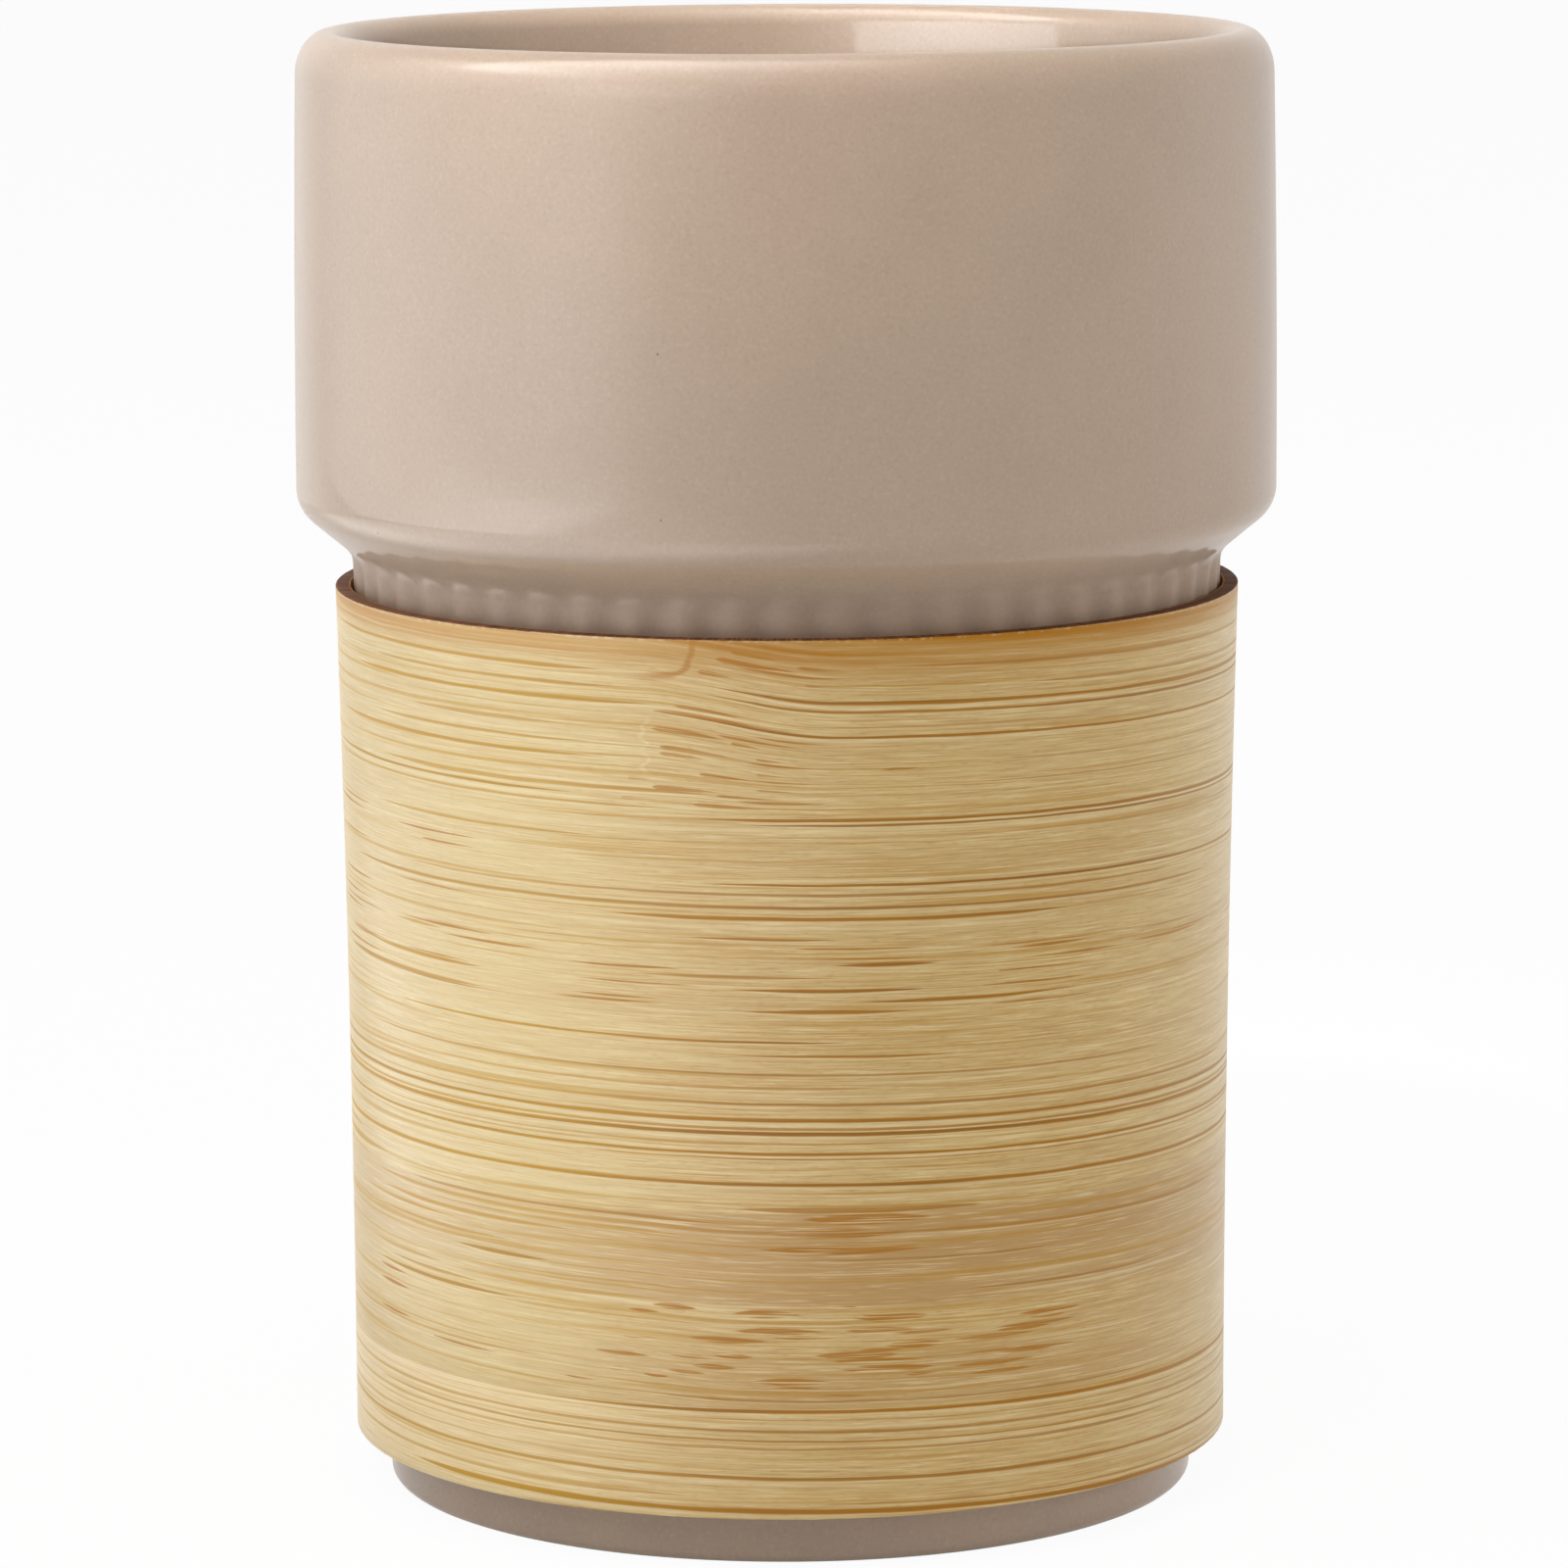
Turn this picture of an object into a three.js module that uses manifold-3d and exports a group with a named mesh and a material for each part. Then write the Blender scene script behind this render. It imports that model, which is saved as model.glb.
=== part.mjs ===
// Ceramic tumbler with a bamboo sleeve: a wide bowl on a narrower ribbed barrel, with a rolled veneer round it.
// Millimetres, +Z up. The origin is the middle of the foot, on the table.

import * as THREE from 'three';
import { mergeVertices } from 'three/addons/utils/BufferGeometryUtils.js';
import Module from 'manifold-3d';

// Bowl
const cupHeight = 119.4;
const shoulderStep = 4.55; // how far the bowl stands out over the ribs at the neck
const shoulderHeight = 82.3; // where the bowl's wall rises from the shoulder
const shoulderSlope = 40; // degrees above level
const shoulderCorner = 3;
const neckFillet = 2.5;
const bowlDraft = 0.35; // how far the bowl draws in from the shoulder to the lip
const bowlWall = 4.4;
const lipRound = 2.6; // outer half of the lip
const innerRound = 5; // both turns of the shoulder inside

// Barrel
const barrelRadius = 35.5; // over the ribs, at the neck
const barrelFlare = 0.92; // how much wider the ribs stand at the neck than at the foot
const barrelWall = 4.2; // from the ribs to the inside
const ribCount = 54;
const ribDepth = 0.45;
const ribRunout = 2.4; // height over which a rib fades away at each end
const floorThickness = 5;
const floorFillet = 8;

// Foot
const footHeight = 5.2; // plain band below the ribs
const footSetback = 1.35; // how far the foot stands in from the ribs
const footChamfer = 1.4; // height of the step from the foot to the ribs
const footEdge = 0.7;
const footRingWidth = 4.5;
const footRecess = 1.5;

// Sleeve
const sleeveLift = 4.3; // lower edge above the table
const sleeveTopGap = 1.6; // upper edge below the neck's fillet
const sleeveWall = 1.2;
const stripWidth = 15.7;
const lowestStrip = 8.9; // what the lower edge leaves of the lowest strip
const leastStrip = 3; // a narrower rest stays with the strip below it
const stripGlueLine = 0.05;
const seamWidth = 0.3;
const seamClearance = 0.05;

// Glue between ribs and sleeve
const glueThickness = 0.2;
const glueClearance = 0.05;
const glueBandHeight = 8;
const glueBandInset = 4; // from the sleeve's edges

// Facets
const facets = 60; // round the axis
const ribFacets = 4; // across one rib
const arcSteps = 2; // half the steps of each arc in a profile
const flareSteps = 4; // rings along the flared barrel
const weld = 0.3; // how deep the blanks of the cup sit in each other

// Heights and radii that follow
const slope = THREE.MathUtils.degToRad(shoulderSlope);
const bowlRadius = barrelRadius + shoulderStep;
const cornerStart = shoulderHeight - shoulderCorner * Math.cos(slope);
const slopeRun = shoulderStep - (shoulderCorner + neckFillet) * (1 - Math.sin(slope));
const filletEnd = cornerStart - slopeRun * Math.tan(slope);
const neckHeight = filletEnd - neckFillet * Math.cos(slope);
const lipOuterRound = Math.min(lipRound, bowlWall * 0.6);
const lipInnerRound = bowlWall - lipOuterRound;
const lipRadius = bowlRadius - bowlDraft;
const lipStart = cupHeight - lipOuterRound;
const crownRadius = lipRadius - lipOuterRound;
const floorHeight = footRecess + floorThickness;
const footRadius = barrelRadius - barrelFlare - footSetback;
const sleeveTop = neckHeight - sleeveTopGap;
const sleeveGap = glueThickness + 2 * glueClearance;

// Radius over the ribs, which widens to the neck along a parabola
function ribCrest(z) {
  const rise = THREE.MathUtils.clamp((z - footHeight) / (neckHeight - footHeight), 0, 1);
  return barrelRadius - barrelFlare * (1 - rise * rise);
}

const sleeveBore = (z) => ribCrest(z) + sleeveGap;
const sleeveOuter = (z) => sleeveBore(z) + sleeveWall;

const wasm = await Module();
wasm.setup();

function toSolid(geometry) {
  geometry.deleteAttribute('normal');
  geometry.deleteAttribute('uv');
  const merged = mergeVertices(geometry);
  const corners = merged.index.array;
  const triangles = [];
  for (let i = 0; i < corners.length; i += 3) {
    const [a, b, c] = corners.slice(i, i + 3);
    if (a !== b && b !== c && c !== a) triangles.push(a, b, c);
  }
  return new wasm.Manifold(new wasm.Mesh({
    numProp: 3,
    vertProperties: merged.attributes.position.array,
    triVerts: new Uint32Array(triangles),
  }));
}

function toGeometry(solid) {
  const { vertProperties, triVerts } = solid.getMesh();
  const geometry = new THREE.BufferGeometry();
  geometry.setAttribute('position', new THREE.BufferAttribute(vertProperties, 3));
  geometry.setIndex(new THREE.BufferAttribute(triVerts, 1));
  geometry.computeVertexNormals();
  return geometry;
}

// Turns a profile of (radius, height) about +Z
function revolve(points) {
  return new THREE.LatheGeometry(points, Math.round(facets)).rotateX(Math.PI / 2);
}

// Bowl with its shoulder and lip, solid inside, with a plug that sits in the barrel
function bowlBlank() {
  const plugRadius = barrelRadius - barrelWall / 2;
  const profile = new THREE.Path();
  profile.moveTo(0, sleeveTop);
  profile.lineTo(plugRadius, sleeveTop);
  profile.lineTo(plugRadius, neckHeight);
  profile.absarc(barrelRadius + neckFillet - weld, neckHeight, neckFillet, Math.PI, Math.PI / 2 + slope, true);
  profile.absarc(bowlRadius - shoulderCorner, shoulderHeight, shoulderCorner, slope - Math.PI / 2, 0, false);
  profile.quadraticCurveTo(bowlRadius, (shoulderHeight + lipStart) / 2, lipRadius, lipStart);
  profile.absarc(crownRadius, lipStart, lipOuterRound, 0, Math.PI / 2, false);
  profile.lineTo(0, cupHeight);
  return toSolid(revolve(profile.getPoints(arcSteps)));
}

// Foot with its recess, solid up into the barrel
function footBlank() {
  const ringInner = footRadius - footRingWidth;
  const top = footHeight + footChamfer;
  const profile = new THREE.Path();
  profile.moveTo(0, footRecess);
  profile.lineTo(ringInner, footRecess);
  profile.lineTo(ringInner, 0);
  profile.absarc(footRadius - footEdge, footEdge, footEdge, -Math.PI / 2, 0, false);
  profile.lineTo(footRadius, top);
  profile.lineTo(0, top);
  return toSolid(revolve(profile.getPoints(arcSteps)));
}

// Rings of the ribbed barrel from the foot to the neck: height, radius over the ribs, depth between them
function barrelRings() {
  const start = footHeight + footChamfer;
  const low = start + ribRunout;
  const high = neckHeight - ribRunout;
  const rings = [
    { z: footHeight, radius: footRadius - weld, depth: 0 },
    { z: start, radius: ribCrest(start), depth: 0 },
  ];
  for (let i = 0; i <= flareSteps; i += 1) {
    const z = low + ((high - low) * i) / flareSteps;
    rings.push({ z, radius: ribCrest(z), depth: ribDepth });
  }
  rings.push({ z: neckHeight, radius: barrelRadius, depth: ribDepth / 2 });
  rings.push({ z: filletEnd, radius: barrelRadius - weld, depth: 0 });
  return rings;
}

// Loft through the rings, with soft round ribs
function ribbedBarrel() {
  const ribs = Math.round(ribCount);
  const around = ribs * Math.round(ribFacets);
  const rings = barrelRings();
  const positions = [];
  const triangles = [];
  rings.forEach(({ z, radius, depth }) => {
    for (let i = 0; i < around; i += 1) {
      const turn = (2 * Math.PI * (i + 0.5)) / around;
      const hollow = (1 - Math.cos(ribs * turn)) / 2;
      const r = radius - depth * hollow;
      positions.push(r * Math.sin(turn), -r * Math.cos(turn), z);
    }
  });
  for (let k = 0; k + 1 < rings.length; k += 1) {
    for (let i = 0; i < around; i += 1) {
      const a = k * around + i;
      const b = k * around + ((i + 1) % around);
      triangles.push(a, b, a + around, b, b + around, a + around);
    }
  }
  const bottomCentre = rings.length * around;
  const topRing = (rings.length - 1) * around;
  positions.push(0, 0, rings[0].z, 0, 0, rings[rings.length - 1].z);
  for (let i = 0; i < around; i += 1) {
    const next = (i + 1) % around;
    triangles.push(bottomCentre, next, i);
    triangles.push(bottomCentre + 1, topRing + i, topRing + next);
  }
  const geometry = new THREE.BufferGeometry();
  geometry.setAttribute('position', new THREE.Float32BufferAttribute(positions, 3));
  geometry.setIndex(triangles);
  return toSolid(geometry);
}

// The hollow: floor, widening barrel, inner shoulder, bowl and the inner half of the lip
function inside() {
  const lowRadius = ribCrest(floorHeight) - barrelWall;
  const neckInner = barrelRadius - barrelWall;
  const bowlInner = bowlRadius - bowlWall;
  const turnIn = 1 - Math.sin(slope);
  const round = Math.min(innerRound, (bowlInner - neckInner) / (2 * turnIn));
  const shoulderAbove = (radius) => cornerStart + barrelWall / Math.cos(slope)
    + (radius - bowlRadius + shoulderCorner * turnIn) * Math.tan(slope);
  const lowTurn = shoulderAbove(neckInner + round * turnIn) - round * Math.cos(slope);
  const highTurn = shoulderAbove(bowlInner - round * turnIn) + round * Math.cos(slope);
  const profile = new THREE.Path();
  profile.moveTo(0, floorHeight);
  profile.lineTo(lowRadius - floorFillet, floorHeight);
  profile.absarc(lowRadius - floorFillet, floorHeight + floorFillet, floorFillet, -Math.PI / 2, 0, false);
  profile.absarc(neckInner + round, lowTurn, round, Math.PI, Math.PI / 2 + slope, true);
  profile.absarc(bowlInner - round, highTurn, round, slope - Math.PI / 2, 0, false);
  profile.absarc(crownRadius, cupHeight - lipInnerRound, lipInnerRound, Math.PI, Math.PI / 2, true);
  profile.lineTo(crownRadius, cupHeight + weld);
  profile.lineTo(0, cupHeight + weld);
  return toSolid(revolve(profile.getPoints(arcSteps)));
}

function cupGeometry() {
  const blank = bowlBlank().add(ribbedBarrel()).add(footBlank());
  return toGeometry(blank.subtract(inside()));
}

// A ring between two radii that follow the barrel. Its facets stay outside the inner radius.
function ringSolid(innerAt, outerAt, low, high) {
  const clear = 1 / Math.cos(Math.PI / Math.round(facets));
  const points = [
    new THREE.Vector2(innerAt(low) * clear, low),
    new THREE.Vector2(outerAt(low), low),
    new THREE.Vector2(outerAt(high), high),
    new THREE.Vector2(innerAt(high) * clear, high),
  ];
  points.push(points[0].clone());
  return toSolid(revolve(points));
}

// Heights where one strip ends and the next begins, from the lower edge to the upper
function stripEdges() {
  const edges = [sleeveLift];
  for (let z = sleeveLift + lowestStrip; z < sleeveTop - leastStrip; z += stripWidth) edges.push(z);
  edges.push(sleeveTop);
  return edges;
}

// The slot at the back where the rolled sheet's ends meet
function seamSlot() {
  const depth = 2 * bowlRadius;
  const slot = new THREE.BoxGeometry(seamWidth, depth, 3 * cupHeight);
  return toSolid(slot.translate(0, depth / 2, 0));
}

function stripGeometry(low, high) {
  return toGeometry(ringSolid(sleeveBore, sleeveOuter, low, high).subtract(seamSlot()));
}

// A thin bar of the sleeve's own section, standing in the slot
function seamGlueGeometry() {
  const edges = stripEdges();
  const shape = new THREE.Shape();
  shape.moveTo(sleeveBore(edges[0]), edges[0]);
  edges.forEach((z) => shape.lineTo(sleeveOuter(z), z));
  edges.reverse().forEach((z) => shape.lineTo(sleeveBore(z), z));
  const width = seamWidth - 2 * seamClearance;
  const bar = new THREE.ExtrudeGeometry(shape, { depth: width, bevelEnabled: false });
  bar.translate(0, 0, -width / 2).rotateX(Math.PI / 2).rotateZ(Math.PI / 2);
  return toGeometry(toSolid(bar));
}

function glueBandGeometry(low) {
  const inner = (z) => ribCrest(z) + glueClearance;
  const outer = (z) => inner(z) + glueThickness;
  return toGeometry(ringSolid(inner, outer, low, low + glueBandHeight));
}

const glaze = new THREE.MeshStandardMaterial({ color: 0xcdb9a8, roughness: 0.22, metalness: 0 });
const bamboo = new THREE.MeshStandardMaterial({ color: 0xdcc190, roughness: 0.55, metalness: 0 });
const glue = new THREE.MeshStandardMaterial({ color: 0xe6dfcf, roughness: 0.5, metalness: 0 });

function piece(name, geometry, material) {
  const mesh = new THREE.Mesh(geometry, material);
  mesh.name = name;
  return mesh;
}

const tumbler = new THREE.Group();
tumbler.add(piece('ceramic_cup', cupGeometry(), glaze));
const edges = stripEdges();
for (let i = 0; i + 1 < edges.length; i += 1) {
  const high = i + 2 < edges.length ? edges[i + 1] - stripGlueLine : edges[i + 1];
  tumbler.add(piece(`bamboo_strip_${i + 1}`, stripGeometry(edges[i], high), bamboo));
}
tumbler.add(piece('sleeve_seam_glue', seamGlueGeometry(), glue));
tumbler.add(piece('lower_glue_band', glueBandGeometry(sleeveLift + glueBandInset), glue));
tumbler.add(piece('upper_glue_band', glueBandGeometry(sleeveTop - glueBandInset - glueBandHeight), glue));

export default tumbler;
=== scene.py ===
# Glazed tumbler with a ribbed barrel, dressed in a sleeve of five bamboo strips. Sizes are in millimetres.
import math

import bpy
from mathutils import Euler, Matrix, Vector


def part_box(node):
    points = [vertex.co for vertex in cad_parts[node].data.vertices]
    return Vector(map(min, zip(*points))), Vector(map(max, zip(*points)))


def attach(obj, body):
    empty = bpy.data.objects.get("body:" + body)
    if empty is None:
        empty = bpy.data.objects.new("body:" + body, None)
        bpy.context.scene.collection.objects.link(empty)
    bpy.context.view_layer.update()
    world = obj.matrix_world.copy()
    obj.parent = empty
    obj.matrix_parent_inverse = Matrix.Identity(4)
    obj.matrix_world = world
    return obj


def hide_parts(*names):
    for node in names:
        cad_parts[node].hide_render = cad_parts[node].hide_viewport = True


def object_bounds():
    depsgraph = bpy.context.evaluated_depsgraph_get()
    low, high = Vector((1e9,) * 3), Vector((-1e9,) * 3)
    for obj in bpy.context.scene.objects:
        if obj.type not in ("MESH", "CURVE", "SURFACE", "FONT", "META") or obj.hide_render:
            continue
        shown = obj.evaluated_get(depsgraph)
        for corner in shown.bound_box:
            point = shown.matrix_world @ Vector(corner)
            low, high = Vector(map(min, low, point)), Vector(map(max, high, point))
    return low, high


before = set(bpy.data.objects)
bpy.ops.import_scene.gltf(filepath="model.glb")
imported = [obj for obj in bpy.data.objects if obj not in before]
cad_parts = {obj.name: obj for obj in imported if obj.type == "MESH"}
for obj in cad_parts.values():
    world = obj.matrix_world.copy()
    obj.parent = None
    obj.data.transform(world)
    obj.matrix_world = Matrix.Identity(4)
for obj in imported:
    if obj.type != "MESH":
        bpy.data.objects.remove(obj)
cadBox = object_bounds()
mm = 0.001
fullTurn = 2 * math.pi
print("frame loaded:", ", ".join(sorted(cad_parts)))

# Camera, where the picture was taken from
view = {
    "distance": 604.7,  # in front of the cup's axis
    "height": 152.3,
    "sideways": -0.3,
    "pitch": 8.93,  # degrees below level
    "roll": 0.25,  # degrees, right side of the picture up
    "lens": 170.55,
    "sensor": 36.0,
}


def addCamera():
    data = bpy.data.cameras.new("picture view")
    data.sensor_width = view["sensor"]
    data.lens = view["lens"]
    camera = bpy.data.objects.new("pictureView", data)
    bpy.context.scene.collection.objects.link(camera)
    tilt = Euler((math.radians(90 - view["pitch"]), 0, 0)).to_matrix()
    roll = Matrix.Rotation(math.radians(-view["roll"]), 3, "Z")
    camera.rotation_euler = (tilt @ roll).to_euler()
    camera.location = (view["sideways"] * mm, -view["distance"] * mm, view["height"] * mm)
    bpy.context.scene.camera = camera


addCamera()
print("camera placed")


# One socket of a node tree. Arithmetic on it adds Math nodes, and make() adds any other node.
class Wire:
    def __init__(self, tree, socket=None):
        self.tree = tree
        self.socket = socket

    def make(self, kind, settings=None, values=None, out=0):
        node = self.tree.nodes.new(kind)
        for name, value in (settings or {}).items():
            setattr(node, name, value)
        for name, value in (values or {}).items():
            if isinstance(value, Wire):
                self.tree.links.new(value.socket, node.inputs[name])
            else:
                node.inputs[name].default_value = value
        return Wire(self.tree, node.outputs[out]) if node.outputs else None

    def also(self, out):  # another output of the same node
        return Wire(self.tree, self.socket.node.outputs[out])

    def math(self, operation, first, second=0.0, third=0.0):
        return self.make("ShaderNodeMath", {"operation": operation}, {0: first, 1: second, 2: third})

    def __add__(self, other):
        return self.math("ADD", self, other)

    def __radd__(self, other):
        return self.math("ADD", other, self)

    def __sub__(self, other):
        return self.math("SUBTRACT", self, other)

    def __rsub__(self, other):
        return self.math("SUBTRACT", other, self)

    def __mul__(self, other):
        return self.math("MULTIPLY", self, other)

    def __rmul__(self, other):
        return self.math("MULTIPLY", other, self)

    def __truediv__(self, other):
        return self.math("DIVIDE", self, other)

    def __abs__(self):
        return self.math("ABSOLUTE", self)


def ease(value, low, high):  # 0 at low, 1 at high, whichever is greater
    limits = {"Value": value, "From Min": low, "From Max": high}
    return value.make("ShaderNodeMapRange", {"interpolation_type": "SMOOTHSTEP"}, limits)


def band(value, low, high, soft):  # 1 between two limits, with soft ends
    return ease(value, low, low + soft) * ease(value, high, high - soft)


def larger(first, second):
    return first.math("MAXIMUM", first, second)


def blend(amount, first, second):  # two colours
    values = {0: amount, 6: first, 7: second}
    return amount.make("ShaderNodeMix", {"data_type": "RGBA"}, values, 2)


def srgb(red, green, blue):
    def linear(level):
        part = level / 255
        return part / 12.92 if part <= 0.04045 else ((part + 0.055) / 1.055) ** 2.4

    return (linear(red), linear(green), linear(blue), 1.0)


# Geometry: a profile of (radius, height) that a node tree turns about the axis
def arc(centreRadius, centreHeight, radius, start, end, steps):
    angles = [math.radians(start + (end - start) * i / steps) for i in range(steps + 1)]
    return [(centreRadius + radius * math.cos(a), centreHeight + radius * math.sin(a)) for a in angles]


def straight(start, end, steps):
    return [(start[0] + (end[0] - start[0]) * i / steps, start[1] + (end[1] - start[1]) * i / steps)
            for i in range(steps + 1)]


def withoutDoubles(points):
    kept = [points[0]]
    for point in points[1:]:
        if math.dist(point, kept[-1]) > 1e-4:
            kept.append(point)
    return kept


def lanes(points, weights=None):  # how far along the profile each point is, from 0 to 1
    steps = [math.dist(a, b) for a, b in zip(points, points[1:])]
    steps = [s * w for s, w in zip(steps, weights or [1.0] * len(steps))]
    return [sum(steps[:i]) / sum(steps) for i in range(len(points))]


def profileObject(name, points, attributes):
    mesh = bpy.data.meshes.new(name)
    places = [(r * mm, 0, z * mm) for r, z in points]
    mesh.from_pydata(places, [(i, i + 1) for i in range(len(places) - 1)], [])
    for label, values in attributes.items():
        mesh.attributes.new(label, "FLOAT", "POINT").data.foreach_set("value", values)
    piece = bpy.data.objects.new(name, mesh)
    bpy.context.scene.collection.objects.link(piece)
    return piece


def newTree(name, inputs):
    tree = bpy.data.node_groups.new(name, "GeometryNodeTree")
    tree.is_modifier = True
    tree.interface.new_socket("Profile", in_out="INPUT", socket_type="NodeSocketGeometry")
    for label, kind in inputs.items():
        tree.interface.new_socket(label, in_out="INPUT", socket_type=kind)
    tree.interface.new_socket("Wall", in_out="OUTPUT", socket_type="NodeSocketGeometry")
    return tree, Wire(tree).make("NodeGroupInput")


def profileRows(start, columns):  # a grid with a row for each profile point, and what the row looks up
    profile = start.also("Profile")
    rows = start.make("GeometryNodeAttributeDomainSize", {"component": "MESH"}, {"Geometry": profile})
    size = {"Size X": 1.0, "Size Y": 1.0, "Vertices X": columns, "Vertices Y": rows}
    grid = start.make("GeometryNodeMeshGrid", {}, size)
    index = start.make("GeometryNodeInputIndex")
    column = start.make("FunctionNodeIntegerMath", {"operation": "DIVIDE_FLOOR"}, {0: index, 1: rows})
    row = start.make("FunctionNodeIntegerMath", {"operation": "MODULO"}, {0: index, 1: rows})

    def lookUp(kind, value):
        settings = {"data_type": kind, "domain": "POINT"}
        values = {"Geometry": profile, "Value": value, "Index": row}
        return start.make("GeometryNodeSampleIndex", settings, values)

    def named(label):
        attribute = start.make("GeometryNodeInputNamedAttribute", {"data_type": "FLOAT"}, {"Name": label})
        return lookUp("FLOAT", attribute)

    position = lookUp("FLOAT_VECTOR", start.make("GeometryNodeInputPosition"))
    place = start.make("ShaderNodeSeparateXYZ", {}, {0: position})
    return grid, column, place, place.also("Z"), named


def onCircle(radius, turn, height):  # turn 0 is in front, and grows to the right
    east = radius * turn.math("SINE", turn)
    south = radius * turn.math("COSINE", turn)
    return turn.make("ShaderNodeCombineXYZ", {}, {"X": east, "Y": 0.0 - south, "Z": height})


def store(wall, label, kind, domain, value):
    settings = {"data_type": kind, "domain": domain}
    values = {"Geometry": wall, "Name": label, "Value": value}
    return wall.make("GeometryNodeStoreNamedAttribute", settings, values)


def closeTree(wall, material, creaseAngle):  # closes seams and poles, and shades smooth up to an angle
    closeness = 0.002 * mm
    wall = wall.make("GeometryNodeMergeByDistance", {}, {"Geometry": wall, "Distance": closeness})
    smooth = {"Geometry": wall, "Shade Smooth": True}
    wall = wall.make("GeometryNodeSetShadeSmooth", {"domain": "FACE"}, smooth)
    steep = {0: wall.make("GeometryNodeInputMeshEdgeAngle"), 1: math.radians(creaseAngle)}
    sharp = wall.make("FunctionNodeCompare", {"operation": "GREATER_THAN"}, steep)
    crease = {"Geometry": wall, "Selection": sharp, "Shade Smooth": False}
    wall = wall.make("GeometryNodeSetShadeSmooth", {"domain": "EDGE"}, crease)
    wall = wall.make("GeometryNodeRealizeInstances", {}, {"Geometry": wall})
    wall = wall.make("GeometryNodeSetMaterial", {}, {"Geometry": wall, "Material": material})
    wall.make("NodeGroupOutput", {}, {"Wall": wall})


def grow(piece, tree, sizes):  # runs the tree once and keeps its mesh
    modifier = piece.modifiers.new(tree.name, "NODES")
    modifier.node_group = tree
    for item in tree.interface.items_tree:
        if item.in_out == "INPUT" and item.name in sizes:
            modifier[item.identifier] = sizes[item.name]
    graph = bpy.context.evaluated_depsgraph_get()
    grown = piece.evaluated_get(graph)
    mesh = bpy.data.meshes.new_from_object(grown, preserve_all_data_layers=True, depsgraph=graph)
    mesh.name = piece.name
    piece.modifiers.clear()
    piece.data = mesh


# Materials
def newMaterial(name):
    material = bpy.data.materials.new(name)
    material.use_nodes = True
    material.node_tree.nodes.clear()
    return material, Wire(material.node_tree)


def finishMaterial(start, values):
    shader = start.make("ShaderNodeBsdfPrincipled", {}, values)
    start.make("ShaderNodeOutputMaterial", {}, {"Surface": shader})


def axes(start):  # where the point is, in millimetres, and its turn in degrees, 0 in front
    place = start.make("ShaderNodeSeparateXYZ", {}, {0: start.make("ShaderNodeTexCoord", out="Object")})
    x = place / mm
    y = place.also("Y") / mm
    z = place.also("Z") / mm
    turn = start.math("ARCTAN2", x, 0.0 - y) * math.degrees(1)
    return x, y, z, turn


def cloud(x, y, z, detail=2.0):  # soft noise on three scaled coordinates
    vector = x.make("ShaderNodeCombineXYZ", {}, {"X": x, "Y": y, "Z": z})
    return x.make("ShaderNodeTexNoise", {}, {"Vector": vector, "Scale": 1.0, "Detail": detail})


def bump(height, distance, strength):
    values = {"Height": height, "Distance": distance * mm, "Strength": strength}
    return height.make("ShaderNodeBump", {}, values)


# Cup
cup = {
    "barrelRadius": 35.5,  # over the ribs, at the neck
    "barrelFlare": 0.92,  # how much wider the ribs stand at the neck than at the foot
    "shoulderStep": 4.55,
    "shoulderHeight": 82.3,
    "shoulderSlope": 40,  # degrees above level
    "shoulderCorner": 3.0,
    "neckFillet": 2.5,
    "bowlDraft": 0.35,
    "wall": 4.4,
    "barrelWall": 4.2,
    "lipRound": 2.6,
    "lipRise": 3.6,
    "mouthFlare": 5,  # degrees that the inside leans out at the lip
    "mouthRound": 70.0,
    "innerRound": 5.0,
    "floor": 6.5,  # height of the inside floor
    "floorFillet": 8.0,
    "footHeight": 5.2,
    "footSetback": 1.35,
    "footChamfer": 1.4,
    "footEdge": 0.7,
    "footRing": 4.5,
    "footRecess": 1.5,
    "ribs": 54,
    "ribDepth": 0.42,
    "ribRunout": 2.4,
    "columnsPerRib": 10,
    "barrelRows": (7.2, 7.8, 8.4, 9, 12, 20, 30, 40, 50, 60, 66, 70, 72, 73.5, 74.5, 75.3),  # heights
}
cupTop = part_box("ceramic_cup")[1].z / mm
slope = math.radians(cup["shoulderSlope"])
bowlRadius = cup["barrelRadius"] + cup["shoulderStep"]
cornerStart = cup["shoulderHeight"] - cup["shoulderCorner"] * math.cos(slope)
slopeRun = cup["shoulderStep"] - (cup["shoulderCorner"] + cup["neckFillet"]) * (1 - math.sin(slope))
filletEnd = cornerStart - slopeRun * math.tan(slope)
neckHeight = filletEnd - cup["neckFillet"] * math.cos(slope)
barrelStart = cup["footHeight"] + cup["footChamfer"]


def ribCrest(z):  # radius over the ribs, which widens to the neck
    rise = min(max((z - cup["footHeight"]) / (neckHeight - cup["footHeight"]), 0), 1)
    return cup["barrelRadius"] - cup["barrelFlare"] * (1 - rise * rise)


def ribDepthAt(z):
    def rising(low, high):
        part = min(max((z - low) / (high - low), 0), 1)
        return part * part * (3 - 2 * part)

    start = rising(barrelStart, barrelStart + cup["ribRunout"])
    return cup["ribDepth"] * start * (1 - rising(neckHeight - 1, filletEnd + 1.2))


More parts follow.
